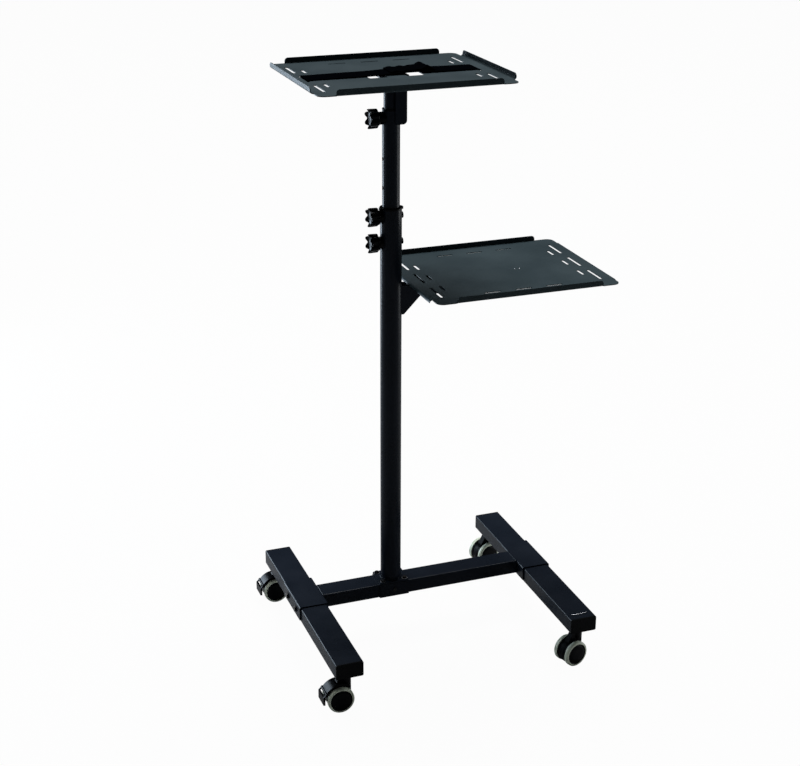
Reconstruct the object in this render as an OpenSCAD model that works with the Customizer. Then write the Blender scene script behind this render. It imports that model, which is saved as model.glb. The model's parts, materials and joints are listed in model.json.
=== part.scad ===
// Projector trolley: an H-shaped wheeled base, a telescopic mast and two slotted trays.
// Millimetres, +Z up, +X to the lower tray's side, -Y to the front.
// Origin: on the floor, under the middle of the whole trolley's outline.

/* [Base] */
// Length of each leg, front to back
leg_l = 516; // [440:2:600]
// Width of a leg tube
leg_w = 58; // [46:1:64]
// Height of a leg tube
leg_h = 33; // [28:1:40]
// Distance between the legs' centre lines
leg_spacing = 517; // [460:1:600]
// Wall of the leg tubes and of the crossbar
base_wall = 1.8; // [1.2:0.1:3]
// Corner radius of those tubes
corner_r = 3; // [2:0.5:5]
// Thickness of the plastic end caps
cap_t = 3; // [2:0.5:5]
// Length of a saddle that ties a leg to the crossbar
saddle_l = 117; // [90:1:150]
// Thickness of a saddle's top and sides
saddle_t = 3; // [2:0.5:5]
// Length of a leg that shows below the saddle's sides
saddle_lift = 5; // [2:1:9]
// Depth of the crossbar, front to back
bar_d = 50; // [40:1:60]
// Distance of the crossbar behind the legs' middle
bar_back = 39.5; // [0:0.5:60]
// Distance of the mast from the middle of the crossbar, towards the left leg
mast_off = 64.5; // [0:0.5:90]
// Length of the collar around the crossbar under the mast
collar_l = 66; // [60:1:90]
// Thickness of that collar
collar_t = 2; // [1.5:0.5:4]
// Depth of the mast's foot plate, front to back
plate_d = 57; // [54:1:70]
// Thickness of the foot plate
plate_t = 3; // [2:0.5:6]

/* [Mast] */
// Outside diameter of the lower tube
outer_d = 44; // [38:1:48]
// Wall of the lower tube
outer_wall = 1.5; // [1:0.1:2.5]
// Length of the lower tube
outer_l = 830; // [700:5:900]
// Outside diameter of the middle tube
inner_d = 35.6; // [32:0.1:38]
// Wall of the middle tube
inner_wall = 1.5; // [1:0.1:2]
// Length of the middle tube
inner_l = 520; // [420:5:560]
// Height of the middle tube that shows above the lower tube, at rest
inner_out = 198; // [190:1:240]
// Outside diameter of the top tube
stub_d = 29.6; // [26:0.1:31]
// Wall of the top tube
stub_wall = 1.5; // [1:0.1:2]
// Length of the top tube that is inside the middle tube, at rest
stub_in = 120; // [90:1:150]
// Diameter of the height holes
hole_d = 8.6; // [7:0.1:10]
// Distance between height holes
hole_pitch = 58.7; // [50:0.1:70]
// Thickness of a guide bush's rim
rim_t = 3; // [2:0.5:5]
// Depth of a guide bush inside its tube
bush_l = 40; // [30:1:60]
// Running clearance between a tube and its bush, on the radius
bush_gap = 0.08; // [0.04:0.01:0.1]

/* [Clamps] */
// Distance of a clamp screw below its tube's top
clamp_drop = 15; // [13:1:20]
// Distance of the lowest clamp screw below the middle one
clamp_pitch = 54; // [48:1:70]
// Diameter over a knob's lobes
knob_d = 39; // [32:1:44]
// Depth of a knob
knob_t = 12; // [9:0.5:16]
// Number of lobes
knob_lobes = 6; // [5:1:8]
// Distance from the mast's axis to the knobs' inner faces
knob_x = 33; // [31:0.1:36]
// Diameter of a knob's boss on the tube
boss_d = 25; // [20:1:28]
// Diameter of a clamp screw
screw_d = 8; // [6:0.5:8]
// Running clearance of a clamp screw, on the radius
screw_gap = 0.08; // [0.05:0.01:0.1]

/* [Trays] */
// Width of a tray between its side bends
tray_w = 398; // [360:2:440]
// Depth of a tray
tray_d = 334; // [300:2:360]
// Sheet thickness
sheet = 1.6; // [1.2:0.1:2.5]
// Height of the turned-up edges above the tray
edge_h = 11; // [8:0.5:16]
// Radius of the side bends, on the outside
bend_r = 6; // [4:0.5:7]
// Length of a tray's corner tabs, along the width
tab_w = 34; // [28:1:44]
// The same for the lower tray
low_tab_w = 40; // [28:1:44]
// Length of a tray's corner tabs, along the depth
tab_d = 34; // [28:1:44]
// Corner radius of the tabs
tab_r = 15; // [8:1:20]
// Height of the top tray's surface above the floor
top_z = 1224; // [1200:1:1260]
// Height of the lower tray's surface above the floor
low_z = 801; // [700:1:820]
// Distance from the mast to the middle of the lower tray
low_x = 237; // [232:1:270]
// Width of the side slots
slot_w = 6; // [4.6:0.1:7]
// Length of the long side slots
slot_long = 64; // [52:1:66]
// Distance between the long side slots' middles
slot_pitch_y = 94; // [80:1:98]
// Distance of the long side slots from the tray's side bends
slot_edge_x = 24; // [18:1:30]
// Length of the short side slots
slot_short = 31; // [20:1:40]
// Distance between the short side slots' middles
short_pitch_y = 72; // [50:1:94]
// Distance of the short side slots from the long ones
short_in = 21; // [16:1:30]
// Width of the slots along the front and back
row_slot_w = 5; // [4:0.1:6]
// Length of the slots along the front and back
row_slot_l = 37; // [20:1:44]
// Distance between those slots' middles
slot_pitch_x = 68; // [60:1:80]
// Distance of those slots from the tray's front and back
row_in = 38; // [30:1:50]
// Length of the windows on both sides of the top tray's mounting plate
window_l = 37; // [30:1:50]
// Depth of those windows, front to back
window_d = 72; // [56:1:84]
// Distance between those windows
window_gap = 38; // [36:1:44]

/* [Brackets] */
// Width of the mounting plate under the top tray, at the bracket
pad_w = 60; // [56:1:80]
// Depth of the mounting plate under the top tray
pad_d = 110; // [90:1:140]
// Thickness of the mounting plate under the top tray
pad_t = 3; // [2:0.5:5]
// Thickness of the folded brackets
fold_t = 1.8; // [1.5:0.1:3]
// Distance from the mast's axis to the top bracket's web
web_x = 25.7; // [24:0.1:30]
// Distance of the channel under the lower tray from the mast's axis
arm_start = 64; // [50:1:90]
// Length of that channel
arm_l = 236; // [180:2:300]
// Width of that channel
arm_w = 104; // [80:2:120]
// Height of that channel
arm_h = 16; // [12:0.5:24]
// Distance between the outsides of the two cheeks that carry it
cheek_w = 30; // [24:1:36]
// Height of the cheeks along the mast
cheek_h = 66; // [50:1:90]
// Thickness of the cheeks
cheek_t = 3; // [2:0.5:5]

/* [Strap] */
// Width of the webbing
strap_w = 50; // [44:1:51]
// Thickness of the webbing
strap_t = 2; // [1.5:0.1:2.5]
// Length of the thick overlap at the buckle
lump_l = 90; // [70:1:110]
// Distance of that overlap's left end from the mast, towards the left
lump_start = 8; // [0:1:40]
// Length of each end that is folded back under the tray
strap_under = 70; // [40:1:90]

/* [Castors] */
// Diameter of a wheel
wheel_d = 56; // [50:1:60]
// Width over both wheels of a castor
wheel_pair_w = 45; // [42:1:52]
// Width of one wheel
wheel_w = 15; // [13:0.5:17]
// Distance of a wheel's axle behind its swivel axis
trail = 15; // [12:1:24]
// Height of the legs' undersides above the floor
castor_h = 84; // [80:1:92]
// Distance of the front swivel axes from the legs' front ends
front_in = 30; // [16:1:60]
// Distance of the back swivel axes from the legs' back ends
back_in = 15; // [15:1:60]
// Angle by which the right castors are turned
right_turn = 15; // [0:5:30]
// Diameter of the swivel stem
stem_d = 10; // [8:0.5:12]
// Diameter of the axle
axle_d = 6; // [5:0.5:8]
// Running clearance of the stem and the axle, on the radius
castor_gap = 0.08; // [0.05:0.01:0.1]
// Width of the mudguard over a castor's wheels
guard_w = 30; // [20:1:36]
// Thickness of the mudguard
guard_t = 4; // [3:0.5:5]

/* [Hidden] */
$fn = 64;

black = [0.07, 0.08, 0.09];
slate = [0.2, 0.24, 0.27];
plastic = [0.05, 0.05, 0.06];
steel = [0.55, 0.57, 0.6];
tyre_grey = [0.66, 0.68, 0.64];
webbing = [0.03, 0.03, 0.035];

// Clearance that keeps two rounded or separately turning faces apart
seat = 0.05;
rest_gap = 0.3;
cut = 1;

// Castors
wheel_r = wheel_d / 2;
hub_r = wheel_r - 5;
hood_w = wheel_pair_w - 2 * wheel_w - 3;
wheel_y = wheel_pair_w / 2 - wheel_w / 2;
tyre_edge = 2;
hood_r = wheel_r - 1.5;
stem_up = 12;
washer_t = 3;
stem_down = 24;
guard_in = wheel_r + 3;
guard_start = 50;
guard_end = 150;
brake_pivot_x = -trail - guard_in + 2;
brake_pivot_z = wheel_r + guard_in / 2 + 1.5;
brake_pin_d = 4;
brake_reach = 8;

// Base
leg_z = castor_h;
leg_top = leg_z + leg_h;
saddle_top = leg_top + saddle_t;
saddle_w = leg_w + 2 * saddle_t;
bar_h = saddle_top - leg_z - saddle_lift;
bar_z = leg_z + saddle_lift;

// Frame: the outline runs from the left brake's tip to the lower tray's edge,
// and from the front to the back right wheels or the legs' ends
mast_to_left = leg_spacing / 2 - mast_off;
left_reach = mast_to_left - brake_pivot_x + brake_reach;
right_reach = low_x + tray_w / 2 + bend_r;
mast_x = (left_reach - right_reach) / 2;
leg_x = [mast_x - mast_to_left, mast_x - mast_to_left + leg_spacing];
castor_y = [front_in - leg_l / 2, leg_l / 2 - back_in];
wheels_reach = (wheel_r - tyre_edge) * sin(right_turn)
    + (wheel_pair_w / 2 - tyre_edge) * cos(right_turn) + tyre_edge;
front_reach = max(leg_l / 2, wheels_reach + trail * sin(right_turn) - castor_y[0]);
back_reach = max(leg_l / 2, wheels_reach - trail * sin(right_turn) + castor_y[1]);
leg_y = (front_reach - back_reach) / 2;
mast_y = leg_y + bar_back;

// Mast
foot_z = saddle_top + collar_t + plate_t;
outer_top = foot_z + outer_l;
inner_top = outer_top + inner_out;
inner_z = inner_top - inner_l;
stub_z = inner_top - stub_in;
outer_r = outer_d / 2;
inner_r = inner_d / 2;
stub_r = stub_d / 2;
height_z = outer_top - clamp_drop;
lock_z = height_z - clamp_pitch;
top_knob_z = inner_top - clamp_drop;
boss_r = boss_d / 2;
screw_r = screw_d / 2;
holes_shown = 3;
holes_below = 4;

// Trays
flange_y = tray_d / 2 - tab_d;
small_bend = 2.5;
side_long_x = tray_w / 2 - slot_edge_x;
side_short_x = side_long_x - short_in;
row_y = tray_d / 2 - row_in;
window_x = (window_gap + window_l) / 2;
window_r = 3;
relief_d = 3;

// Brackets
pad_z = top_z - sheet - pad_t;
web_bottom = top_knob_z - 11;
cheek_y = inner_r + 1.2;
arm_top = low_z - sheet;
arm_z = arm_top - arm_h;
cheek_foot = arm_top - cheek_h;

module at_mast() translate([mast_x, mast_y, 0]) children();

// Rectangular tube along X, standing on z = 0 and centred on Y
module tube_x(length, width, height, wall, outer, inner) {
    translate([-length / 2, 0, height / 2]) rotate([90, 0, 90]) linear_extrude(length) difference() {
        rounded(width, height, outer);
        rounded(width - 2 * wall, height - 2 * wall, inner);
    }
}

// Rounded rectangle around the origin
module rounded(w, d, r) {
    union() {
        square([w - 2 * r, d], center = true);
        square([w, d - 2 * r], center = true);
        for (x = [-1, 1], y = [-1, 1])
            translate([x * (w / 2 - r), y * (d / 2 - r)]) circle(r);
    }
}

// Slot with round ends, along X
module slot(length, width) {
    square([length - width, width], center = true);
    for (x = [-1, 1]) translate([x * (length - width) / 2, 0]) circle(d = width);
}

// Base

module leg(side) {
    color(black) translate([leg_x[side], leg_y, leg_z]) difference() {
        rotate(90) tube_x(leg_l - 2 * cap_t, leg_w, leg_h, base_wall, corner_r, corner_r - base_wall);
        for (y = castor_y) translate([0, y, -cut])
            cylinder(r = stem_d / 2 + seat, h = base_wall + 2 * cut);
    }
}

module leg_caps(side) {
    inset = 3;
    play = base_wall + 0.2;
    color(plastic) for (turn = [0, 180]) translate([leg_x[side], leg_y, leg_z + leg_h / 2])
        rotate([90, 0, turn]) {
            translate([0, 0, leg_l / 2 - cap_t]) linear_extrude(cap_t) rounded(leg_w, leg_h, corner_r);
            translate([0, 0, leg_l / 2 - cap_t - inset]) linear_extrude(inset)
                rounded(leg_w - 2 * play, leg_h - 2 * play, corner_r - base_wall);
        }
}

// Inverted channel over a leg, welded to the crossbar's end
module saddle(side) {
    color(black) translate([leg_x[side], mast_y, bar_z]) rotate([90, 0, 0])
        translate([0, 0, -saddle_l / 2]) linear_extrude(saddle_l) difference() {
            union() {
                translate([0, bar_h / 2]) rounded(saddle_w, bar_h, corner_r + 1);
                translate([-saddle_w / 2, 0]) square([saddle_w, bar_h / 2]);
            }
            translate([0, bar_h / 2 - saddle_t]) rounded(leg_w, bar_h, corner_r - 1);
            translate([-leg_w / 2, -cut]) square([leg_w, bar_h / 2]);
        }
}

// Two bolt heads on the outer side of each saddle
module saddle_bolts() {
    head_d = 12;
    head_t = 4;
    color(plastic) for (side = [0, 1], y = [-1, 1]) {
        out = side == 0 ? -1 : 1;
        translate([leg_x[side] + out * saddle_w / 2, mast_y + y * saddle_l / 4, bar_z + bar_h / 2 - 2])
            rotate([0, out * 90, 0]) {
                cylinder(d = head_d + 3, h = 1);
                cylinder(d = head_d, h = head_t);
            }
    }
}

module crossbar() {
    length = leg_spacing - saddle_w;
    color(black) translate([(leg_x[0] + leg_x[1]) / 2, mast_y, bar_z])
        tube_x(length, bar_d, bar_h, base_wall, corner_r, corner_r - base_wall);
}

module collar() {
    color(black) translate([mast_x, mast_y, bar_z - collar_t]) difference() {
        tube_x(collar_l, bar_d + 2 * collar_t, bar_h + 2 * collar_t, collar_t, corner_r + 1, corner_r - 1);
        translate([0, -bar_d / 2, (bar_h + 2 * collar_t) / 2])
            rotate([90, 0, 0]) cylinder(d = 5, h = collar_t + 2 * cut);
    }
}

module foot_plate() {
    color(black) translate([mast_x, mast_y, saddle_top + collar_t])
        linear_extrude(plate_t) rounded(collar_l, plate_d, 5);
}

module foot_bolts() {
    head_t = 4;
    color(plastic) translate([mast_x, mast_y, foot_z]) for (x = [-1, 1], y = [-1, 1])
        translate([x * (collar_l / 2 - 8), y * (plate_d / 2 - 8), 0]) {
            cylinder(d = 11, h = 1);
            cylinder(d = 9.5, h = head_t, $fn = 6);
        }
    color(plastic) translate([mast_x, mast_y - bar_d / 2, bar_z + bar_h / 2]) rotate([90, 0, 0]) {
        cylinder(d = 4.9, h = collar_t);
        translate([0, 0, collar_t]) cylinder(d = 8, h = 2.5);
    }
}

// Mast

module outer_tube() {
    color(black) at_mast() translate([0, 0, foot_z]) difference() {
        cylinder(r = outer_r, h = outer_l);
        translate([0, 0, -cut]) cylinder(r = outer_r - outer_wall, h = outer_l + 2 * cut);
        for (z = [height_z, lock_z]) translate([0, 0, z - foot_z]) rotate([0, -90, 0])
            cylinder(r = screw_r + screw_gap, h = outer_r + cut);
    }
}

// Guide bush: a sleeve inside a tube with a rim on the tube's top
module bush(tube_r, wall, rim_out, bore_r, top, screw_heights) {
    difference() {
        union() {
            translate([0, 0, top - bush_l]) cylinder(r = tube_r - wall - seat, h = bush_l);
            translate([0, 0, top]) cylinder(r = tube_r + rim_out, h = rim_t);
        }
        translate([0, 0, top - bush_l - cut]) cylinder(r = bore_r, h = bush_l + rim_t + 2 * cut);
        for (z = screw_heights) translate([0, 0, z]) rotate([0, -90, 0])
            cylinder(r = screw_r + screw_gap, h = tube_r);
    }
}

module outer_bush() {
    ear_out = 2.5;
    ear_w = 8;
    ear_h = 5;
    color(plastic) at_mast() {
        bush(outer_r, outer_wall, 1, inner_r + bush_gap, outer_top, [height_z]);
        for (x = [-1, 1]) translate([0, 0, outer_top + rim_t - ear_h]) difference() {
            translate([x * (outer_r + ear_out / 2 + 0.2), 0, ear_h / 2])
                cube([ear_out, ear_w, ear_h], center = true);
            translate([0, 0, -cut]) cylinder(r = outer_r + seat, h = ear_h - rim_t + cut);
        }
    }
}

module inner_bush() {
    color(plastic) at_mast()
        bush(inner_r, inner_wall, 0, stub_r + bush_gap, inner_top, [top_knob_z]);
}

// Threaded boss on the tube's left side
module boss(tube_r) {
    reach = knob_x - rest_gap;
    difference() {
        rotate([0, -90, 0]) union() {
            cylinder(r = boss_r - 3, h = reach);
            cylinder(r = boss_r, h = reach - 3);
        }
        translate([0, 0, -boss_d]) cylinder(r = tube_r + seat, h = 2 * boss_d);
        rotate([0, -90, 0]) cylinder(r = screw_r + screw_gap, h = reach + cut);
    }
}

module outer_bosses() {
    color(plastic) at_mast() for (z = [height_z, lock_z]) translate([0, 0, z]) boss(outer_r);
}

module inner_boss() {
    color(plastic) at_mast() translate([0, 0, top_knob_z]) boss(inner_r);
}

// Flat nuts on the tube's right side, opposite the clamp screws
module outer_nuts() {
    color(plastic) at_mast() for (z = [height_z, lock_z]) translate([0, 0, z]) difference() {
        rotate([0, 90, 0]) cylinder(d = 13, h = outer_r + 2.5);
        translate([0, 0, -boss_d]) cylinder(r = outer_r + seat, h = 2 * boss_d);
    }
}

module inner_tube() {
    color(black) at_mast() difference() {
        translate([0, 0, inner_z]) cylinder(r = inner_r, h = inner_l);
        translate([0, 0, inner_z - cut]) cylinder(r = inner_r - inner_wall, h = inner_l + 2 * cut);
        for (i = [-holes_below:holes_shown - 1]) translate([0, 0, height_z + i * hole_pitch])
            rotate([0, -90, 0]) cylinder(d = hole_d, h = inner_r + cut);
        translate([0, 0, top_knob_z]) rotate([0, -90, 0])
            cylinder(r = screw_r + screw_gap, h = inner_r + cut);
    }
}

module top_tube() {
    color(black) at_mast() difference() {
        translate([0, 0, stub_z]) cylinder(r = stub_r, h = pad_z - stub_z);
        translate([0, 0, stub_z - cut]) cylinder(r = stub_r - stub_wall, h = pad_z - stub_z + 2 * cut);
    }
}

// Knob with a lobed rim, a dished face and a clamp screw that stops short of the tube
module knob(tip_r) {
    lobe_r = knob_d * 0.13;
    lobe_ring = knob_d / 2 - lobe_r;
    core_r = knob_d * 0.37;
    dish = 4;
    rotate([0, -90, 0]) {
        translate([0, 0, knob_x]) difference() {
            linear_extrude(knob_t) union() {
                circle(core_r);
                for (i = [0:knob_lobes - 1]) rotate(i * 360 / knob_lobes)
                    translate([lobe_ring, 0]) circle(lobe_r);
            }
            translate([0, 0, knob_t - dish]) cylinder(r = core_r - 2, h = dish + cut);
        }
        translate([0, 0, tip_r + rest_gap]) cylinder(r = screw_r, h = knob_x - tip_r);
        translate([0, 0, knob_x + 1]) cylinder(r = screw_r + 2.5, h = knob_t - 3);
    }
}

module top_knob() {
    color(plastic) at_mast() translate([0, 0, top_knob_z]) knob(stub_r);
}

module height_knob() {
    color(plastic) at_mast() translate([0, 0, height_z]) knob(inner_r);
}

module lock_knob() {
    color(plastic) at_mast() translate([0, 0, lock_z]) knob(inner_r);
}

// Trays

// All slots of one tray, as an outline
module tray_slots() {
    for (x = [-1, 1], i = [-1:1]) {
        translate([x * side_long_x, i * slot_pitch_y]) rotate(90) slot(slot_long, slot_w);
        translate([x * side_short_x, i * short_pitch_y]) rotate(90) slot(slot_short, slot_w);
    }
    for (y = [-1, 1], i = [-1:1])
        translate([i * slot_pitch_x, y * row_y]) slot(row_slot_l, row_slot_w);
}

// Profile of a turned-up edge: the bend, then the upright with its top rounded off
module edge_up(radius) {
    translate([-radius, radius]) {
        intersection() {
            difference() {
                circle(radius);
                circle(radius - sheet);
            }
            translate([0, -radius]) square(radius);
        }
        translate([radius - sheet, 0]) square([sheet, edge_h + sheet - radius]);
    }
}

// Profile of a rolled-down edge: a quarter round, level with the tray's top
module edge_down(radius) {
    translate([-radius, sheet - radius]) intersection() {
        difference() {
            circle(radius);
            circle(radius - sheet);
        }
        square(radius);
    }
}

// Outline of the upright's corners, to round them off
module edge_mask(length, top) {
    r = 7;
    translate([-length / 2, 0]) square([length, top - r]);
    translate([-length / 2 + r, 0]) square([length - 2 * r, top]);
    for (x = [-1, 1]) translate([x * (length / 2 - r), top - r]) circle(r);
}

// Edge along Y at the right side; the other side is its mirror image
module side_edge(up) {
    length = 2 * flange_y;
    translate([tray_w / 2 + bend_r, 0, 0]) {
        if (up) intersection() {
            translate([0, length / 2, 0]) rotate([90, 0, 0]) linear_extrude(length) edge_up(bend_r);
            translate([-2 * bend_r, 0, 0]) rotate([90, 0, 90]) linear_extrude(3 * bend_r)
                edge_mask(length, edge_h + sheet);
        }
        else translate([0, length / 2, 0]) rotate([90, 0, 0]) linear_extrude(length) edge_down(bend_r);
    }
}

// Turned-up edge along X at the back; the front is its mirror image
module end_edge(length) {
    intersection() {
        translate([-length / 2, tray_d / 2, 0]) rotate([90, 0, 90]) linear_extrude(length)
            edge_up(small_bend);
        translate([0, tray_d / 2 + cut, 0]) rotate([90, 0, 0]) linear_extrude(3 * bend_r)
            edge_mask(length, edge_h + sheet);
    }
}

// One tray: sheet with four corner tabs, edges and slots; its underside is z = 0
module tray(sides_up, windows, tab) {
    end_l = tray_w - 2 * tab;

    linear_extrude(sheet) difference() {
        rounded(tray_w, tray_d, tab_r);
        for (y = [-1, 1]) translate([0, y * tray_d / 2]) {
            square([end_l, 2 * small_bend], center = true);
            for (x = [-1, 1]) translate([x * end_l / 2, -y * small_bend]) circle(d = relief_d);
        }
        for (x = [-1, 1], y = [-1, 1]) translate([x * tray_w / 2, y * flange_y]) circle(d = relief_d);
        tray_slots();
        if (windows) for (x = [-1, 1]) translate([x * window_x, 0]) rounded(window_l, window_d, window_r);
    }
    for (m = [0, 1]) mirror([m, 0, 0]) side_edge(sides_up);
    for (m = [0, 1]) mirror([0, m, 0]) end_edge(end_l);
}

module top_tray() {
    color(slate) translate([mast_x, mast_y, top_z - sheet]) tray(true, true, tab_w);
}

module lower_tray() {
    color(slate) translate([mast_x + low_x, mast_y, low_z - sheet]) tray(false, false, low_tab_w);
}

// Mounting plate and folded channel beside the top tube
module top_bracket() {
    web_h = pad_z - web_bottom;
    corner = 8;
    color(black) at_mast() {
        translate([0, 0, pad_z]) linear_extrude(pad_t) {
            rounded(window_gap - 1, pad_d, 8);
            rounded(pad_w, 2 * (cheek_y + fold_t) + 4, 4);
        }
        translate([0, 0, web_bottom]) intersection() {
            linear_extrude(web_h) difference() {
                translate([2, -cheek_y - fold_t]) square([web_x - 2, 2 * (cheek_y + fold_t)]);
                translate([0, -cheek_y]) square([web_x - fold_t, 2 * cheek_y]);
            }
            translate([0, cheek_y + 2 * fold_t, 0]) rotate([90, 0, 0])
                linear_extrude(2 * cheek_y + 4 * fold_t) union() {
                    square([web_x - corner, web_h]);
                    translate([0, corner]) square([web_x, web_h - corner]);
                    translate([web_x - corner, corner]) circle(corner);
                }
        }
    }
}

// Open channel under the lower tray, carried by two cheeks that are welded to the mast
module lower_bracket() {
    cheek_end = arm_start + 2 * cheek_h;
    brace_x = arm_start + arm_h / 2;
    cheek_top = arm_top - bend_r - rest_gap;
    color(black) at_mast() difference() {
        union() {
            translate([arm_start, 0, arm_z]) difference() {
                translate([0, -arm_w / 2, 0]) cube([arm_l, arm_w, arm_h]);
                translate([-cut, -arm_w / 2 + fold_t, fold_t])
                    cube([arm_l + 2 * cut, arm_w - 2 * fold_t, arm_h]);
            }
            for (y = [-cheek_w / 2, cheek_w / 2 - cheek_t]) translate([0, y + cheek_t, 0])
                rotate([90, 0, 0]) linear_extrude(cheek_t)
                    polygon([[0, cheek_foot], [outer_r + cut, cheek_foot], [brace_x, arm_z],
                        [cheek_end, arm_z], [cheek_end, cheek_top], [0, cheek_top]]);
        }
        translate([0, 0, cheek_foot - cut]) cylinder(r = outer_r + seat, h = cheek_h + 2 * cut);
    }
}

// Strap: over the tray, down through the middle side slots and back underneath
module strap() {
    over_z = top_z + rest_gap;
    under_z = top_z - sheet - rest_gap - strap_t;
    drop_x = side_long_x;
    color(webbing) translate([mast_x, mast_y - strap_w / 2, 0]) {
        translate([-drop_x - strap_t / 2, 0, over_z]) cube([2 * drop_x + strap_t, strap_w, strap_t]);
        translate([-lump_start, 4, over_z + strap_t]) cube([lump_l, strap_w - 8, 2 * strap_t]);
        for (m = [0, 1]) mirror([m, 0, 0]) {
            translate([drop_x - strap_t / 2, 0, under_z]) cube([strap_t, strap_w, over_z - under_z + 1]);
            translate([drop_x - strap_under, 0, under_z]) cube([strap_under, strap_w, strap_t]);
        }
    }
}

// Castors

// side: 0 left, 1 right; end: 0 front, 1 back
module at_castor(side, end) translate([leg_x[side], leg_y + castor_y[end], 0])
    rotate(side * right_turn) children();

module castor_stem(side, end) {
    color(steel) at_castor(side, end) {
        translate([0, 0, castor_h - stem_down]) cylinder(d = stem_d, h = stem_down + stem_up);
        translate([0, 0, castor_h - washer_t]) cylinder(d = stem_d + 12, h = washer_t);
        translate([0, 0, castor_h + base_wall]) cylinder(d = stem_d + 5, h = 5, $fn = 6);
    }
}

// Pie slice between two angles, for trimming a ring
module slice(radius, from, to) {
    steps = 4;
    polygon([[0, 0], for (i = [0:steps])
        2 * radius * [cos(from + (to - from) * i / steps), sin(from + (to - from) * i / steps)]]);
}

// Drum between the wheels with a boss around the stem; the braked ones carry a mudguard too
module castor_hood(side, end) {
    boss_top = castor_h - washer_t - rest_gap;
    boss_z = wheel_d + rest_gap;
    neck = stem_d / 2 + 5;
    braked = side == 0;
    color(plastic) at_castor(side, end) difference() {
        union() {
            translate([0, hood_w / 2, 0]) rotate([90, 0, 0]) linear_extrude(hood_w) {
                translate([-trail, wheel_r]) circle(hood_r);
                polygon([[-trail, wheel_r], [neck, wheel_r], [neck, boss_top], [-neck, boss_top],
                    [-trail - hood_r / 2, wheel_r + hood_r * 0.8]]);
                if (braked) translate([-trail, wheel_r]) intersection() {
                    circle(guard_in + guard_t / 2);
                    slice(guard_in, guard_start, guard_end);
                }
            }
            if (braked) translate([0, guard_w / 2, 0]) rotate([90, 0, 0]) linear_extrude(guard_w) {
                translate([-trail, wheel_r]) intersection() {
                    difference() {
                        circle(guard_in + guard_t);
                        circle(guard_in);
                    }
                    slice(guard_in + guard_t, guard_start, guard_end);
                }
                translate([brake_pivot_x, brake_pivot_z]) circle(brake_pin_d - 0.5);
            }
            translate([0, 0, boss_z]) cylinder(r = neck, h = boss_top - boss_z);
        }
        translate([0, 0, castor_h - stem_down - rest_gap])
            cylinder(r = stem_d / 2 + castor_gap, h = stem_down);
        translate([-trail, guard_w, wheel_r]) rotate([90, 0, 0])
            cylinder(r = axle_d / 2 + castor_gap, h = 2 * guard_w);
        if (braked) translate([brake_pivot_x, guard_w, brake_pivot_z]) rotate([90, 0, 0])
            cylinder(r = brake_pin_d / 2 + castor_gap, h = 2 * guard_w);
    }
}

// Both hubs and their axle
module castor_wheels(side, end) {
    color(plastic) at_castor(side, end) translate([-trail, 0, wheel_r]) rotate([90, 0, 0]) {
        cylinder(d = axle_d, h = wheel_pair_w - 8, center = true);
        for (m = [0, 1]) mirror([0, 0, m]) translate([0, 0, wheel_y]) difference() {
            cylinder(r = hub_r, h = wheel_w, center = true);
            translate([0, 0, wheel_w / 2 - 2]) difference() {
                cylinder(r = hub_r - 3, h = 3);
                translate([0, 0, -cut]) cylinder(r = 7, h = 5);
            }
        }
    }
}

module castor_tyres(side, end) {
    half = wheel_w / 2;
    color(tyre_grey) at_castor(side, end) translate([-trail, 0, wheel_r]) rotate([90, 0, 0])
        for (m = [0, 1]) mirror([0, 0, m]) translate([0, 0, wheel_y]) rotate_extrude($fn = 96) {
            translate([hub_r, -half]) square([wheel_r - hub_r - tyre_edge, wheel_w]);
            translate([hub_r, -half + tyre_edge]) square([wheel_r - hub_r, wheel_w - 2 * tyre_edge]);
            for (z = [-1, 1]) translate([wheel_r - tyre_edge, z * (half - tyre_edge)]) circle(tyre_edge);
        }
}

// Brake pedal on a pin through the mudguard's end
module castor_brake(side, end) {
    side_t = 2;
    half = guard_w / 2 + rest_gap;
    pedal_t = 4;
    pedal_top = -5;
    pedal_h = 18;
    color(plastic) at_castor(side, end) translate([brake_pivot_x, 0, brake_pivot_z]) {
        rotate([90, 0, 0]) cylinder(d = brake_pin_d, h = 2 * half + 1, center = true);
        for (y = [-half - side_t, half]) translate([0, y + side_t, 0]) rotate([90, 0, 0])
            linear_extrude(side_t) union() {
                circle(brake_pin_d / 2 + 1.2);
                polygon([[0, 3], [-2, -3], [-brake_reach, pedal_top - 6], [-brake_reach, pedal_top]]);
            }
        translate([-brake_reach, -half - side_t, pedal_top - pedal_h])
            cube([pedal_t, 2 * (half + side_t), pedal_h]);
    }
}

leg(0);  // left_leg
leg(1);  // right_leg
leg_caps(0);  // left_leg_caps
leg_caps(1);  // right_leg_caps
saddle(0);  // left_saddle
saddle(1);  // right_saddle
saddle_bolts();
crossbar();
collar();
foot_plate();
foot_bolts();
outer_tube();
outer_bush();
outer_bosses();
outer_nuts();
lower_bracket();
lower_tray();
inner_tube();
inner_bush();
inner_boss();
top_tube();
top_bracket();
top_tray();
strap();
top_knob();
height_knob();
lock_knob();
castor_stem(0, 0);  // front_left_stem
castor_hood(0, 0);  // front_left_hood
castor_wheels(0, 0);  // front_left_wheels
castor_tyres(0, 0);  // front_left_tyres
castor_brake(0, 0);  // front_left_brake
castor_stem(0, 1);  // back_left_stem
castor_hood(0, 1);  // back_left_hood
castor_wheels(0, 1);  // back_left_wheels
castor_tyres(0, 1);  // back_left_tyres
castor_brake(0, 1);  // back_left_brake
castor_stem(1, 0);  // front_right_stem
castor_hood(1, 0);  // front_right_hood
castor_wheels(1, 0);  // front_right_wheels
castor_tyres(1, 0);  // front_right_tyres
castor_stem(1, 1);  // back_right_stem
castor_hood(1, 1);  // back_right_hood
castor_wheels(1, 1);  // back_right_wheels
castor_tyres(1, 1);  // back_right_tyres
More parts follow.
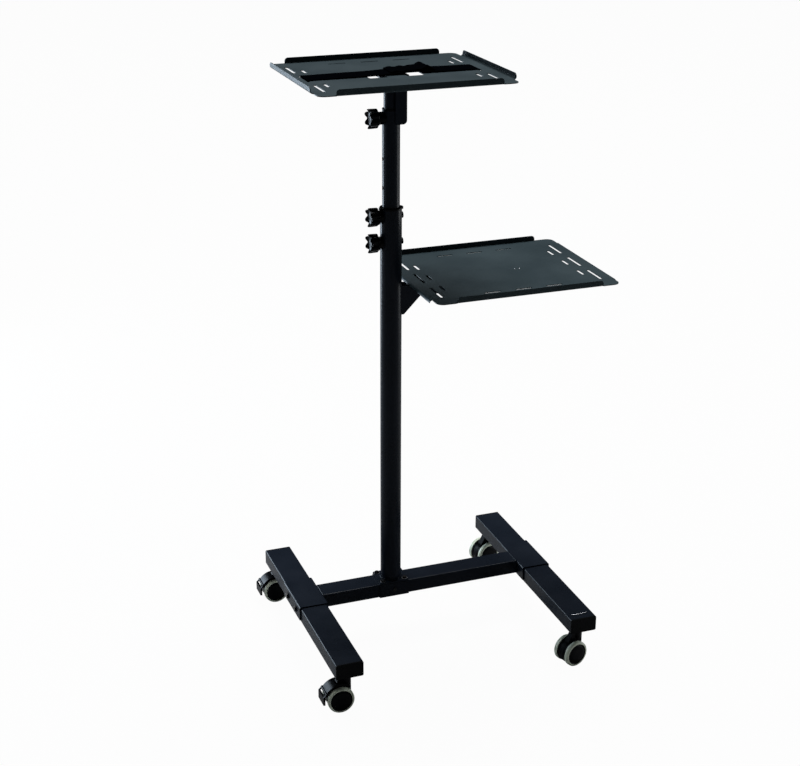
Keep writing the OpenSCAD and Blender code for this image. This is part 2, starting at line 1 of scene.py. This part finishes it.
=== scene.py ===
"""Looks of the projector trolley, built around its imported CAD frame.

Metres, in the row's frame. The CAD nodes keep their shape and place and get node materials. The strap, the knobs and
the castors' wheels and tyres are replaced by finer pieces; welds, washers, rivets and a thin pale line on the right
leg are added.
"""

import json
import math

import bmesh
import bpy
from mathutils import Matrix, Vector


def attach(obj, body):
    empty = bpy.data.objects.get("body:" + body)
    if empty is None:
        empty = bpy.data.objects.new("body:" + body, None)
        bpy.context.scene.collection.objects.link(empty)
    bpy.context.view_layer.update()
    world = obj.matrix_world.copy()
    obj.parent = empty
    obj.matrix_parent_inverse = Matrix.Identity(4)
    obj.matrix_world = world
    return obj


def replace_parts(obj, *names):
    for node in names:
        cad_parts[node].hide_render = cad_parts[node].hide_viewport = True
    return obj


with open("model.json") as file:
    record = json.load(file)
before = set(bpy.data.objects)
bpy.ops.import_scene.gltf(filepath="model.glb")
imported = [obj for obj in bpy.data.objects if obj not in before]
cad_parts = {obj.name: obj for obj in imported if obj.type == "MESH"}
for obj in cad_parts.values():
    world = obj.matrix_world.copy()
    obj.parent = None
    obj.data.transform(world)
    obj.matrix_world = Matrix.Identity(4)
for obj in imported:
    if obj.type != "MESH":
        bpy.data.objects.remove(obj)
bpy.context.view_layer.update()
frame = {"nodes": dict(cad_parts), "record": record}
nodes = frame["nodes"]

X = Vector((1, 0, 0))
Y = Vector((0, 1, 0))
UP = Vector((0, 0, 1))
MAST = Vector((-0.098, 0.03588, 0.0))  # the mast's axis on the floor
TOP_Z = 1.224  # upper face of the top tray
LOW_Z = 0.801  # upper face of the lower tray
SHEET = 0.0016  # thickness of the trays
FOOT_Z = 0.125  # upper face of the mast's foot plate
BAR_TOP = 0.120  # upper face of the crossbar


# ---------------------------------------------------------------- materials
ROUGH_SPREAD = 0.06
GRAIN_HEIGHT = 0.0000003
MATERIALS = {}  # by the name of the record's material slot


def new_material(name):
    m = bpy.data.materials.new(name)
    m.use_nodes = True
    tree = m.node_tree
    return m, tree.nodes, tree.links, tree.nodes["Principled BSDF"]


def noise(n, links, coords, scale, detail):
    tex = n.new("ShaderNodeTexNoise")
    tex.inputs["Scale"].default_value = scale
    tex.inputs["Detail"].default_value = detail
    tex.inputs["Roughness"].default_value = 0.55
    links.new(coords.outputs["Object"], tex.inputs["Vector"])
    return tex.outputs["Fac"]


def ramp(n, links, source, low, high, a, b):
    r = n.new("ShaderNodeMapRange")
    r.inputs["From Min"].default_value = low
    r.inputs["From Max"].default_value = high
    r.inputs["To Min"].default_value = a
    r.inputs["To Max"].default_value = b
    links.new(source, r.inputs["Value"])
    return r.outputs["Result"]


def mix_color(n, links, factor, a, b):
    mix = n.new("ShaderNodeMix")
    mix.data_type = "RGBA"
    mix.inputs["A"].default_value = (*a, 1)
    mix.inputs["B"].default_value = (*b, 1)
    links.new(factor, mix.inputs["Factor"])
    return mix.outputs["Result"]


def bump(n, links, height, strength, distance, bsdf):
    node = n.new("ShaderNodeBump")
    node.inputs["Strength"].default_value = strength
    node.inputs["Distance"].default_value = distance
    links.new(height, node.inputs["Height"])
    links.new(node.outputs["Normal"], bsdf.inputs["Normal"])


def coated(name, color, lighter, rough, grain=1400, specular=0.5, metallic=0.0):
    """Painted, moulded or plated surface: fine grain, soft cloudy colour and roughness."""
    m, n, links, bsdf = new_material(name)
    coords = n.new("ShaderNodeTexCoord")
    cloud = noise(n, links, coords, 9, 4)
    fine = noise(n, links, coords, grain, 2)
    factor = ramp(n, links, cloud, 0.35, 0.7, 0, 1)
    links.new(mix_color(n, links, factor, color, lighter), bsdf.inputs["Base Color"])
    uneven = ramp(n, links, cloud, 0.3, 0.7, rough - ROUGH_SPREAD, rough + ROUGH_SPREAD)
    links.new(uneven, bsdf.inputs["Roughness"])
    bump(n, links, fine, 0.6, GRAIN_HEIGHT, bsdf)
    bsdf.inputs["Specular IOR Level"].default_value = specular
    bsdf.inputs["Metallic"].default_value = metallic
    MATERIALS[name] = m


def woven(name, dark, light):
    """Strap webbing: ribs across the band, crossed by fine threads."""
    m, n, links, bsdf = new_material(name)
    coords = n.new("ShaderNodeTexCoord")
    waves = []
    for direction, scale in (("X", 420), ("Y", 260)):
        w = n.new("ShaderNodeTexWave")
        w.bands_direction = direction
        w.inputs["Scale"].default_value = scale
        w.inputs["Distortion"].default_value = 0.6
        w.inputs["Detail"].default_value = 1.0
        links.new(coords.outputs["Object"], w.inputs["Vector"])
        waves.append(w.outputs["Fac"])
    product = n.new("ShaderNodeMath")
    product.operation = "MULTIPLY"
    links.new(waves[0], product.inputs[0])
    links.new(waves[1], product.inputs[1])
    threads = product.outputs[0]
    links.new(mix_color(n, links, threads, dark, light), bsdf.inputs["Base Color"])
    bump(n, links, threads, 0.8, 0.0003, bsdf)
    bsdf.inputs["Roughness"].default_value = 0.85
    bsdf.inputs["Specular IOR Level"].default_value = 0.0
    MATERIALS[name] = m


coated("frame_black", (0.0055, 0.0082, 0.0135), (0.0072, 0.0105, 0.0172), 0.3, specular=0.08)
coated("tray_slate", (0.018, 0.03, 0.036), (0.024, 0.039, 0.046), 0.46, specular=0.12)
coated("plastic_black", (0.0012, 0.0016, 0.0024), (0.002, 0.0026, 0.0038), 0.38, 2200, 0.06)
coated("knob_gloss", (0.001, 0.0013, 0.002), (0.0018, 0.0022, 0.0032), 0.25, 2600, 0.06)
coated("castor_black", (0.001, 0.0012, 0.002), (0.002, 0.0024, 0.0036), 0.33, 2600, 0.06)
coated("bolt_black", (0.002, 0.002, 0.003), (0.004, 0.004, 0.005), 0.3, 3000, 0.3)
coated("tyre_grey", (0.62, 0.68, 0.54), (0.74, 0.79, 0.66), 0.42, 1800, 0.5)
coated("steel_zinc", (0.32, 0.33, 0.35), (0.4, 0.41, 0.43), 0.32, 2500, metallic=1.0)
woven("webbing", (0.0005, 0.0007, 0.0012), (0.0014, 0.0018, 0.0026))

for part in frame["record"]["subparts"]:
    mesh = nodes[part["node"]].data
    mesh.materials.clear()
    mesh.materials.append(MATERIALS[part["material_slot"]])


# ---------------------------------------------------------------- mesh helpers
def piece(name, bm, slot, body, angle):
    """Turns a bmesh into a piece that rides on a body; edges sharper than the angle stay sharp."""
    bmesh.ops.recalc_face_normals(bm, faces=bm.faces)
    mesh = bpy.data.meshes.new(name)
    bm.to_mesh(mesh)
    bm.free()
    for face in mesh.polygons:
        face.use_smooth = True
    mesh.set_sharp_from_angle(angle=math.radians(angle))
    mesh.materials.append(MATERIALS[slot])
    o = bpy.data.objects.new(name, mesh)
    bpy.context.scene.collection.objects.link(o)
    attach(o, body)
    return o


def circle(centre, a, b, radius, steps):
    """Points around a centre in the plane of the unit vectors a and b."""
    turns = (2 * math.pi * i / steps for i in range(steps))
    return [centre + (a * math.cos(t) + b * math.sin(t)) * radius for t in turns]


def bridge(bm, rings, caps=True):
    """Joins rings of points into a skin, with its ends filled."""
    made = [[bm.verts.new(p) for p in ring] for ring in rings]
    count = len(made[0])
    for a, b in zip(made, made[1:]):
        for i in range(count):
            j = (i + 1) % count
            bm.faces.new((a[i], a[j], b[j], b[i]))
    if caps:
        bm.faces.new(made[0][::-1])
        bm.faces.new(made[-1])
    return made


def merge_ends(bm):
    """Welds the first and last ring of a skin that closes on itself."""
    bmesh.ops.remove_doubles(bm, verts=bm.verts, dist=1e-6)


# ---------------------------------------------------------------- strap
STRAP_T = 0.0018
STRAP_OVER = TOP_Z + 0.0014  # middle of the band on the tray
STRAP_UNDER = TOP_Z - SHEET - 0.0016  # middle of the band below the tray
STRAP_BEND = 0.0016
STRAP_DROP = 0.175  # from the mast to the slots that the band goes down through
STRAP_END = 0.07  # length of each end below the tray
EDGE_SHARE = 0.94  # where the band's edge starts to round off


def band(bm, path, half_width, sway):
    """Flat webbing along a path of (x, z) points beside the mast."""
    corners = [(1, -1), (1, -EDGE_SHARE), (1, EDGE_SHARE), (1, 1), (-1, 1), (-1, EDGE_SHARE), (-1, -EDGE_SHARE),
               (-1, -1)]
    rings = []
    for i, (x, z) in enumerate(path):
        before = Vector(path[max(i - 1, 0)])
        after = Vector(path[min(i + 1, len(path) - 1)])
        along = (after - before).normalized()
        side = Vector((-along.y, along.x)) * STRAP_T / 2
        shift = sway(x)
        rings.append([MAST + Vector((x + s * side.x, shift + w * half_width, z + s * side.y)) for s, w in corners])
    bridge(bm, rings)


def arc(cx, cz, r, a0, a1, steps=6):
    angles = [math.radians(a0 + (a1 - a0) * i / steps) for i in range(steps + 1)]
    return [(cx + r * math.cos(a), cz + r * math.sin(a)) for a in angles]


def lift(x):
    """Height of the loose band above the tray, x in millimetres."""
    return 0.0028 * math.exp(-((x - 35) / 75) ** 2)


def fold(x):
    """Height of the overlap above the band: small folds and a tall one, x in millimetres."""
    return 0.0022 + 0.0016 * math.sin((x + 8) / 7) ** 2 + 0.0055 * math.exp(-((x - 66) / 11) ** 2)


bend_x = STRAP_DROP - STRAP_BEND
lower_bend_z = STRAP_UNDER + STRAP_BEND
upper_bend_z = STRAP_OVER - STRAP_BEND
lower_run = (
    [(STRAP_DROP - STRAP_END, STRAP_UNDER), (STRAP_DROP - 0.03, STRAP_UNDER)]
    + arc(bend_x, lower_bend_z, STRAP_BEND, -90, 0)
    + arc(bend_x, upper_bend_z, STRAP_BEND, 0, 90)
    + [(x / 1000, STRAP_OVER + 0.0003 * math.sin(x / 21) + lift(x)) for x in range(160, -161, -8)]
    + arc(-bend_x, upper_bend_z, STRAP_BEND, 90, 180)
    + arc(-bend_x, lower_bend_z, STRAP_BEND, 180, 270)
    + [(-STRAP_DROP + 0.03, STRAP_UNDER), (-STRAP_DROP + STRAP_END, STRAP_UNDER)]
)
upper_run = [(x / 1000, STRAP_OVER + lift(x) + fold(x)) for x in range(-8, 86, 2)]
bm = bmesh.new()
band(bm, lower_run, 0.025, lambda x: 0.0004 * math.sin(x * 30))
band(bm, upper_run, 0.024, lambda x: 0.0028 + 0.0012 * math.sin(x * 210))
strap = piece("strap_webbing", bm, "webbing", "head", 50)
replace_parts(strap, "strap")


# ---------------------------------------------------------------- knobs
KNOB_R = 0.0195
KNOB_LOBES = 6
LOBE_FROM = 0.72  # share of the radius where the drum begins to part into lobes
CROWN = 0.0440  # distance from the mast beyond which the lobes curl outwards
SCREW_R = 0.004
SCREW_HEAD = 0.0335
KNOB_PROFILE = [  # distance from the mast, share of the radius
    (0.0333, 0.25), (0.0333, 0.66), (0.0330, 0.685), (0.0290, 0.69), (0.0284, 0.72), (0.0284, 0.86),
    (0.0289, 0.94), (0.0302, 0.98), (0.0360, 0.99), (0.0420, 1.0), (0.0455, 1.0), (0.0478, 0.99), (0.0490, 0.96),
    (0.0488, 0.92), (0.0472, 0.86), (0.0446, 0.78), (0.0428, 0.62), (0.0424, 0.42), (0.0436, 0.36), (0.0438, 0.05),
]


def knob(name, body, z, first, tip):
    """Hand knob: a drum with lobes that curl outwards, a dished face and its clamp screw down to tip."""
    bm = bmesh.new()
    steps = 96
    rings = []
    for out, share in KNOB_PROFILE:
        lobe = max(0.0, min(1.0, (share - LOBE_FROM) / 0.2))
        crown = max(0.0, out - CROWN) if share > 0.7 else 0.0
        ring = []
        for i in range(steps):
            t = 2 * math.pi * i / steps
            dip = (0.5 - 0.5 * math.cos(KNOB_LOBES * (t - first))) ** 1.3
            r = KNOB_R * share * (1 - 0.15 * lobe * dip)
            ring.append(MAST + Vector((-out + crown * dip * 0.95, r * math.sin(t), z + r * math.cos(t))))
        rings.append(ring)
    bridge(bm, rings)
    bridge(bm, [circle(MAST + Vector((-x, 0, z)), UP, Y, SCREW_R, 32) for x in (tip, SCREW_HEAD)])
    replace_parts(piece(name, bm, "knob_gloss", body, 40), body)


knob("top_hand_knob", "top_knob", 1.138, 0.1, 0.0151)
knob("height_hand_knob", "height_knob", 0.940, -0.05, 0.0181)
knob("lock_hand_knob", "lock_knob", 0.886, 0.05, 0.0181)


# ---------------------------------------------------------------- castor wheels
TRAIL = 0.015
WHEEL_R = 0.028
DISC_FROM = 0.0075  # each profile starts at this distance from the castor's middle
CASTORS = {  # x, y and turn of the swivel axis
    "front_left": (-0.292, -0.23162, 0),
    "back_left": (-0.292, 0.23938, 0),
    "front_right": (0.225, -0.23162, 15),
    "back_right": (0.225, 0.23938, 15),
}
HUB = [  # distance along the axle, radius
    (0.0, 0.0240), (0.0005, 0.0266), (0.0044, 0.0268), (0.0048, 0.0262), (0.0049, 0.0229), (0.0141, 0.0229),
    (0.0146, 0.0223), (0.0144, 0.0213), (0.0138, 0.0207), (0.0138, 0.0198), (0.0145, 0.019), (0.0149, 0.017),
    (0.0153, 0.012), (0.0155, 0.006), (0.01555, 0.0005),
]
TYRE = [
    (0.0050, 0.0231), (0.0050, 0.0272), (0.0056, 0.0279), (0.0066, 0.0280), (0.0098, 0.0280), (0.0102, 0.0275),
    (0.0108, 0.0275), (0.0112, 0.0279), (0.0126, 0.0277), (0.0137, 0.0270), (0.0144, 0.0257), (0.0146, 0.0244),
    (0.0145, 0.0234), (0.0141, 0.0231),
]
AXLE = [(-0.0077, 0.003), (0.0077, 0.003)]


def lathe(bm, centre, axis, profile, steps, caps=True):
    """Revolves (distance along the axis, radius) points around a level axis."""
    side = axis.cross(UP)
    bridge(bm, [circle(centre + axis * along, side, UP, r, steps) for along, r in profile], caps)


for name, (x, y, turn) in CASTORS.items():
    t = math.radians(turn)
    centre = Vector((x - TRAIL * math.cos(t), y - TRAIL * math.sin(t), WHEEL_R))
    axis = Vector((-math.sin(t), math.cos(t), 0))
    bm = bmesh.new()
    for out in (-1, 1):
        lathe(bm, centre + axis * out * DISC_FROM, axis * out, HUB, 64)
    lathe(bm, centre, axis, AXLE, 24)
    discs = piece(name + "_discs", bm, "castor_black", name + "_wheel_set", 32)
    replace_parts(discs, name + "_wheels")
    bm = bmesh.new()
    for out in (-1, 1):
        lathe(bm, centre + axis * out * DISC_FROM, axis * out, TYRE + TYRE[:1], 96, caps=False)
    merge_ends(bm)
    treads = piece(name + "_treads", bm, "tyre_grey", name + "_wheel_set", 40)
    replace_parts(treads, name + "_tyres")


# ---------------------------------------------------------------- welds, washers and small marks
def tube_along(bm, points, radius, closed=False, lumps=0.16):
    """Rope of rings along level points; lumps makes it as uneven as a weld bead."""
    sides = 10
    rings = []
    count = len(points)
    for i, p in enumerate(points):
        before = points[(i - 1) % count] if closed or i else points[0]
        after = points[(i + 1) % count] if closed or i < count - 1 else points[-1]
        side = (after - before).normalized().cross(UP)
        rings.append(circle(p, side, UP, radius * (1 + lumps * math.sin(i * 2.1)), sides))
    made = bridge(bm, rings, caps=not closed)
    if closed:
        for k in range(sides):
            j = (k + 1) % sides
            bm.faces.new((made[-1][k], made[-1][j], made[0][j], made[0][k]))


bm = bmesh.new()
tube_along(bm, circle(MAST + UP * (FOOT_Z + 0.0008), X, Y, 0.0226, 72), 0.0019, closed=True)
for x in (-0.2598, 0.1928):  # where the crossbar meets the saddles
    tube_along(bm, [Vector((x, MAST.y - 0.022 + 0.044 * i / 24, BAR_TOP - 0.0006)) for i in range(25)], 0.0014)
piece("weld_beads", bm, "frame_black", "base", 60)

BOLT_X, BOLT_Y = 0.025, 0.0205  # foot plate bolts, from the mast
WASHER = [(0.00555, 0.0001), (0.0063, 0.0001), (0.0063, 0.0007), (0.00555, 0.0007)]  # radius, height
bm = bmesh.new()
for sx in (-1, 1):
    for sy in (-1, 1):
        centre = Vector((MAST.x + sx * BOLT_X, MAST.y + sy * BOLT_Y, FOOT_Z))
        bridge(bm, [circle(centre + UP * z, X, Y, r, 32) for r, z in WASHER + WASHER[:1]], caps=False)
merge_ends(bm)
piece("foot_washers", bm, "steel_zinc", "base", 30)

RIVET = [(0.0017, 0), (0.0017, 0.0003), (0.0013, 0.0007), (0.0005, 0.0009)]  # radius, height
bm = bmesh.new()
for x, y in ((0.2722, -0.007), (0.2816, -0.0076)):
    centre = Vector((MAST.x + x, MAST.y + y, LOW_Z - 0.0001))
    bridge(bm, [circle(centre + UP * z, X, Y, r, 20) for r, z in RIVET])
piece("tray_rivets", bm, "steel_zinc", "base", 50)

RIGHT_LEG_X, LEG_FRONT, LEG_TOP = 0.225, -0.26162, 0.117
bm = bmesh.new()
# Thin pale zinc line across the right leg's top, slightly curved, 18.5 mm behind the leg's front end.
pale_line_path = [
    Vector((RIGHT_LEG_X - 0.018 + 0.034 * i / 16, LEG_FRONT + 0.0185 + 0.0015 * (i / 8 - 1) ** 2, LEG_TOP + 0.0004))
    for i in range(17)
]
tube_along(bm, pale_line_path, 0.0009, lumps=0)
piece("cap_pale_line", bm, "steel_zinc", "base", 60)


# ---------------------------------------------------------------- studio
def floor_material():
    """White to the camera, dim to the object, and it keeps a soft shadow."""
    m, n, links, bsdf = new_material("floor_white")
    bsdf.inputs["Base Color"].default_value = (0.36, 0.36, 0.36, 1)
    bsdf.inputs["Roughness"].default_value = 0.9
    glow = n.new("ShaderNodeEmission")
    glow.inputs["Strength"].default_value = 1.0
    path = n.new("ShaderNodeLightPath")
    share = n.new("ShaderNodeMath")
    share.operation = "MULTIPLY"
    share.inputs[1].default_value = 0.97
    links.new(path.outputs["Is Camera Ray"], share.inputs[0])
    mix = n.new("ShaderNodeMixShader")
    links.new(share.outputs[0], mix.inputs[0])
    links.new(bsdf.outputs[0], mix.inputs[1])
    links.new(glow.outputs[0], mix.inputs[2])
    links.new(mix.outputs[0], n["Material Output"].inputs["Surface"])
    return m


bm = bmesh.new()
bmesh.ops.create_grid(bm, x_segments=1, y_segments=1, size=12)
floor_mesh = bpy.data.meshes.new("floor")
bm.to_mesh(floor_mesh)
bm.free()
floor = bpy.data.objects.new("floor", floor_mesh)
floor.location.z = -0.0005
floor_mesh.materials.append(floor_material())
scene = bpy.context.scene
scene.collection.objects.link(floor)

scene.view_settings.view_transform = "Standard"
world = bpy.data.worlds.new("studio")
scene.world = world
world.use_nodes = True
world_nodes, world_links = world.node_tree.nodes, world.node_tree.links
background = world_nodes["Background"]
background.inputs["Color"].default_value = (1, 1, 1, 1)
light_path = world_nodes.new("ShaderNodeLightPath")
strength = world_nodes.new("ShaderNodeMapRange")
strength.inputs["To Min"].default_value = 0.03
strength.inputs["To Max"].default_value = 1.0
world_links.new(light_path.outputs["Is Camera Ray"], strength.inputs["Value"])
world_links.new(strength.outputs["Result"], background.inputs["Strength"])


def area(name, azimuth, distance, height, size, watts, color=(1, 1, 1), aim=0.6):
    """Lamp at an azimuth around the mast, counted from +X towards +Y, aimed at the mast."""
    light = bpy.data.lights.new(name, "AREA")
    light.shape = "RECTANGLE"
    light.size, light.size_y = size
    light.energy = watts
    light.color = color
    turn = math.radians(azimuth)
    place = Vector((MAST.x + distance * math.cos(turn), MAST.y + distance * math.sin(turn), height))
    target = Vector((MAST.x, MAST.y, aim))
    o = bpy.data.objects.new(name, light)
    o.location = place
    o.rotation_euler = (target - place).to_track_quat("-Z", "Y").to_euler()
    scene.collection.objects.link(o)


area("top", 62, 2.6, 8.0, (4.5, 4.5), 900, aim=0.8)
area("left", 172, 2.6, 1.1, (0.8, 1.8), 3, (0.8, 0.9, 1.0))
area("rim_left", 125, 2.4, 0.6, (0.9, 1.6), 66, (0.72, 0.86, 1.0))
area("rim_right", -8, 2.4, 0.3, (1.0, 1.2), 18, (0.92, 0.97, 1.0))

CAMERA_AT = Vector((-1.1281, -2.80402, 1.8001))
YAW, PITCH, ROLL = 20.3, -22.0, 0.2  # degrees
camera_data = bpy.data.cameras.new("camera")
camera_data.sensor_width = 36
camera_data.sensor_fit = "HORIZONTAL"
camera_data.lens = 70.39
camera_data.clip_end = 60
camera = bpy.data.objects.new("camera", camera_data)
yaw, pitch, roll = (math.radians(a) for a in (YAW, PITCH, ROLL))
ahead = Vector((math.sin(yaw) * math.cos(pitch), math.cos(yaw) * math.cos(pitch), math.sin(pitch)))
level_right = Vector((math.cos(yaw), -math.sin(yaw), 0))
level_up = level_right.cross(ahead)
right = level_right * math.cos(roll) + level_up * math.sin(roll)
up = level_up * math.cos(roll) - level_right * math.sin(roll)
camera.matrix_world = Matrix((
    (right.x, up.x, -ahead.x, CAMERA_AT.x),
    (right.y, up.y, -ahead.y, CAMERA_AT.y),
    (right.z, up.z, -ahead.z, CAMERA_AT.z),
    (0, 0, 0, 1),
))
scene.collection.objects.link(camera)
scene.camera = camera
